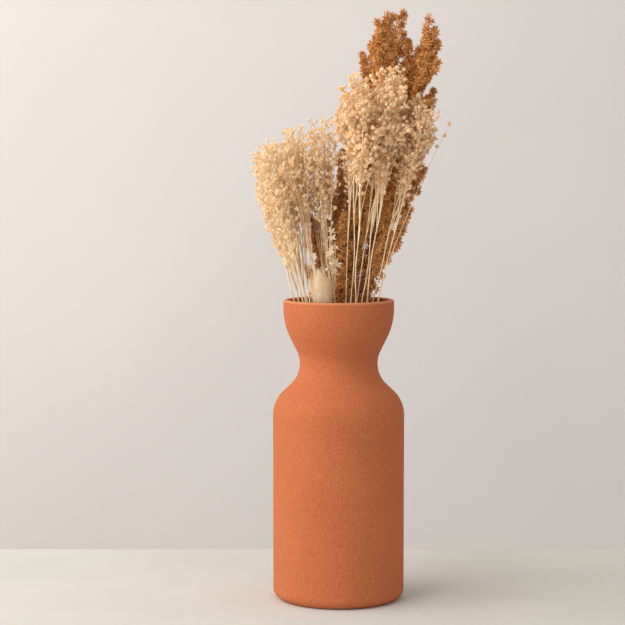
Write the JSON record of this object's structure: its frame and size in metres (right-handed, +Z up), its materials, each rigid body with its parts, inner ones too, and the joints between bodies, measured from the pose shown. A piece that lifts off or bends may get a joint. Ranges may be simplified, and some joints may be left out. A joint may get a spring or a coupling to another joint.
{
  "type": "flower vase",
  "caption": "Matte terracotta vase with a straight body, narrow neck and bowl-shaped mouth, holding dried sprays, seed spikes and a bunny tail that each lift out.",
  "frame": {"origin": "centre of the foot, on the surface the vase stands on", "axes": "+Z up along the vase's axis, +X to the right and -Y towards the viewer, seen from the front"},
  "size_m": [0.1666, 0.1474, 0.526],
  "materials": {
    "terracotta": "matte, sandy, unglazed",
    "straw_stalk": "smooth dry stalk, straw",
    "brown_stalk": "ridged dry stalk, brown",
    "pale_left": "dry papery florets, straw",
    "pale_right": "dry papery bolls, straw",
    "rust_seed": "dry rough seed, rust brown",
    "tail_fluff": "soft bristles, cream",
    "star_flower": "dry papery petals, cream"
  },
  "bodies": {
    "vase_body": {"vase": "terracotta"},
    "left_spray_1_stem": {"left_spray_1_stalk": "straw_stalk", "left_spray_1_head": "pale_left"},
    "left_spray_2_stem": {"left_spray_2_stalk": "straw_stalk", "left_spray_2_head": "pale_left"},
    "left_spray_3_stem": {"left_spray_3_stalk": "straw_stalk", "left_spray_3_head": "pale_left"},
    "left_spray_4_stem": {"left_spray_4_stalk": "straw_stalk", "left_spray_4_head": "pale_left"},
    "left_spray_5_stem": {"left_spray_5_stalk": "straw_stalk", "left_spray_5_head": "pale_left"},
    "left_spray_6_stem": {"left_spray_6_stalk": "straw_stalk", "left_spray_6_head": "pale_left"},
    "left_spray_7_stem": {"left_spray_7_stalk": "straw_stalk", "left_spray_7_head": "pale_left"},
    "left_spray_8_stem": {"left_spray_8_stalk": "straw_stalk", "left_spray_8_head": "pale_left"},
    "left_spray_9_stem": {"left_spray_9_stalk": "straw_stalk", "left_spray_9_head": "pale_left"},
    "left_spray_10_stem": {"left_spray_10_stalk": "straw_stalk", "left_spray_10_head": "pale_left"},
    "right_spray_1_stem": {"right_spray_1_stalk": "straw_stalk", "right_spray_1_head": "pale_right"},
    "right_spray_2_stem": {"right_spray_2_stalk": "straw_stalk", "right_spray_2_head": "pale_right"},
    "right_spray_3_stem": {"right_spray_3_stalk": "straw_stalk", "right_spray_3_head": "pale_right"},
    "right_spray_4_stem": {"right_spray_4_stalk": "straw_stalk", "right_spray_4_head": "pale_right"},
    "right_spray_5_stem": {"right_spray_5_stalk": "straw_stalk", "right_spray_5_head": "pale_right"},
    "right_spray_6_stem": {"right_spray_6_stalk": "straw_stalk", "right_spray_6_head": "pale_right"},
    "right_spray_7_stem": {"right_spray_7_stalk": "straw_stalk", "right_spray_7_head": "pale_right"},
    "right_spray_8_stem": {"right_spray_8_stalk": "straw_stalk", "right_spray_8_head": "pale_right"},
    "seed_spike_1_stem": {"seed_spike_1_stalk": "brown_stalk", "seed_spike_1_head": "rust_seed"},
    "seed_spike_2_stem": {"seed_spike_2_stalk": "brown_stalk", "seed_spike_2_head": "rust_seed"},
    "seed_spike_3_stem": {"seed_spike_3_stalk": "brown_stalk", "seed_spike_3_head": "rust_seed"},
    "seed_spike_4_stem": {"seed_spike_4_stalk": "brown_stalk", "seed_spike_4_head": "rust_seed"},
    "seed_spike_5_stem": {"seed_spike_5_stalk": "brown_stalk", "seed_spike_5_head": "rust_seed"},
    "seed_spike_6_stem": {"seed_spike_6_stalk": "brown_stalk", "seed_spike_6_head": "rust_seed"},
    "seed_spike_7_stem": {"seed_spike_7_stalk": "brown_stalk", "seed_spike_7_head": "rust_seed"},
    "seed_spike_8_stem": {"seed_spike_8_stalk": "brown_stalk", "seed_spike_8_head": "rust_seed"},
    "seed_spike_9_stem": {"seed_spike_9_stalk": "brown_stalk", "seed_spike_9_head": "rust_seed"},
    "seed_spike_10_stem": {"seed_spike_10_stalk": "brown_stalk", "seed_spike_10_head": "rust_seed"},
    "bunny_tail_stem": {"bunny_tail": "tail_fluff"},
    "star_sprig_stem": {"star_sprig_stalk": "straw_stalk", "star_sprig_head": "star_flower"}
  },
  "joints": [
    {"name": "left_spray_1_lift", "type": "slide", "parent": "vase_body", "child": "left_spray_1_stem", "axis": [-0.2423, 0.1725, 0.9547], "range_m": [0, 0.28]},
    {"name": "left_spray_2_lift", "type": "slide", "parent": "vase_body", "child": "left_spray_2_stem", "axis": [-0.1485, 0.1858, 0.9713], "range_m": [0, 0.28]},
    {"name": "left_spray_3_lift", "type": "slide", "parent": "vase_body", "child": "left_spray_3_stem", "axis": [-0.2477, 0.1057, 0.9631], "range_m": [0, 0.28]},
    {"name": "left_spray_4_lift", "type": "slide", "parent": "vase_body", "child": "left_spray_4_stem", "axis": [-0.1533, 0.1181, 0.9811], "range_m": [0, 0.28]},
    {"name": "left_spray_5_lift", "type": "slide", "parent": "vase_body", "child": "left_spray_5_stem", "axis": [-0.2519, 0.0375, 0.967], "range_m": [0, 0.28]},
    {"name": "left_spray_6_lift", "type": "slide", "parent": "vase_body", "child": "left_spray_6_stem", "axis": [-0.1574, 0.0488, 0.9863], "range_m": [0, 0.28]},
    {"name": "left_spray_7_lift", "type": "slide", "parent": "vase_body", "child": "left_spray_7_stem", "axis": [-0.2551, -0.031, 0.9664], "range_m": [0, 0.28]},
    {"name": "left_spray_8_lift", "type": "slide", "parent": "vase_body", "child": "left_spray_8_stem", "axis": [-0.0585, 0.06, 0.9965], "range_m": [0, 0.28]},
    {"name": "left_spray_9_lift", "type": "slide", "parent": "vase_body", "child": "left_spray_9_stem", "axis": [-0.1608, -0.0211, 0.9868], "range_m": [0, 0.28]},
    {"name": "left_spray_10_lift", "type": "slide", "parent": "vase_body", "child": "left_spray_10_stem", "axis": [-0.062, -0.0107, 0.998], "range_m": [0, 0.28]},
    {"name": "right_spray_1_lift", "type": "slide", "parent": "vase_body", "child": "right_spray_1_stem", "axis": [0.0354, -0.0707, 0.9969], "range_m": [0, 0.28]},
    {"name": "right_spray_2_lift", "type": "slide", "parent": "vase_body", "child": "right_spray_2_stem", "axis": [0.1349, -0.0596, 0.9891], "range_m": [0, 0.28]},
    {"name": "right_spray_3_lift", "type": "slide", "parent": "vase_body", "child": "right_spray_3_stem", "axis": [0.0318, -0.1403, 0.9896], "range_m": [0, 0.28]},
    {"name": "right_spray_4_lift", "type": "slide", "parent": "vase_body", "child": "right_spray_4_stem", "axis": [0.1307, -0.1289, 0.983], "range_m": [0, 0.28]},
    {"name": "right_spray_5_lift", "type": "slide", "parent": "vase_body", "child": "right_spray_5_stem", "axis": [0.2262, -0.1165, 0.9671], "range_m": [0, 0.28]},
    {"name": "right_spray_6_lift", "type": "slide", "parent": "vase_body", "child": "right_spray_6_stem", "axis": [0.0281, -0.208, 0.9777], "range_m": [0, 0.28]},
    {"name": "right_spray_7_lift", "type": "slide", "parent": "vase_body", "child": "right_spray_7_stem", "axis": [0.1261, -0.1965, 0.9724], "range_m": [0, 0.28]},
    {"name": "right_spray_8_lift", "type": "slide", "parent": "vase_body", "child": "right_spray_8_stem", "axis": [0.2209, -0.1833, 0.9579], "range_m": [0, 0.28]},
    {"name": "seed_spike_1_lift", "type": "slide", "parent": "vase_body", "child": "seed_spike_1_stem", "axis": [0.0388, 0, 0.9992], "range_m": [0, 0.28]},
    {"name": "seed_spike_2_lift", "type": "slide", "parent": "vase_body", "child": "seed_spike_2_stem", "axis": [-0.0548, 0.1298, 0.99], "range_m": [0, 0.28]},
    {"name": "seed_spike_3_lift", "type": "slide", "parent": "vase_body", "child": "seed_spike_3_stem", "axis": [0.0421, 0.0707, 0.9966], "range_m": [0, 0.28]},
    {"name": "seed_spike_4_lift", "type": "slide", "parent": "vase_body", "child": "seed_spike_4_stem", "axis": [0.1384, 0.0106, 0.9903], "range_m": [0, 0.28]},
    {"name": "seed_spike_5_lift", "type": "slide", "parent": "vase_body", "child": "seed_spike_5_stem", "axis": [0.2306, -0.0481, 0.9719], "range_m": [0, 0.28]},
    {"name": "seed_spike_6_lift", "type": "slide", "parent": "vase_body", "child": "seed_spike_6_stem", "axis": [0.0451, 0.1403, 0.9891], "range_m": [0, 0.28]},
    {"name": "seed_spike_7_lift", "type": "slide", "parent": "vase_body", "child": "seed_spike_7_stem", "axis": [0.1412, 0.0805, 0.9867], "range_m": [0, 0.28]},
    {"name": "seed_spike_8_lift", "type": "slide", "parent": "vase_body", "child": "seed_spike_8_stem", "axis": [0.2339, 0.0208, 0.972], "range_m": [0, 0.28]},
    {"name": "seed_spike_9_lift", "type": "slide", "parent": "vase_body", "child": "seed_spike_9_stem", "axis": [0.1433, 0.1492, 0.9784], "range_m": [0, 0.28]},
    {"name": "seed_spike_10_lift", "type": "slide", "parent": "vase_body", "child": "seed_spike_10_stem", "axis": [0.2361, 0.0893, 0.9676], "range_m": [0, 0.28]},
    {"name": "bunny_tail_lift", "type": "slide", "parent": "vase_body", "child": "bunny_tail_stem", "axis": [-0.1634, -0.0907, 0.9824], "range_m": [0, 0.28]},
    {"name": "star_sprig_lift", "type": "slide", "parent": "vase_body", "child": "star_sprig_stem", "axis": [-0.0651, -0.0812, 0.9946], "range_m": [0, 0.28]}
  ]
}
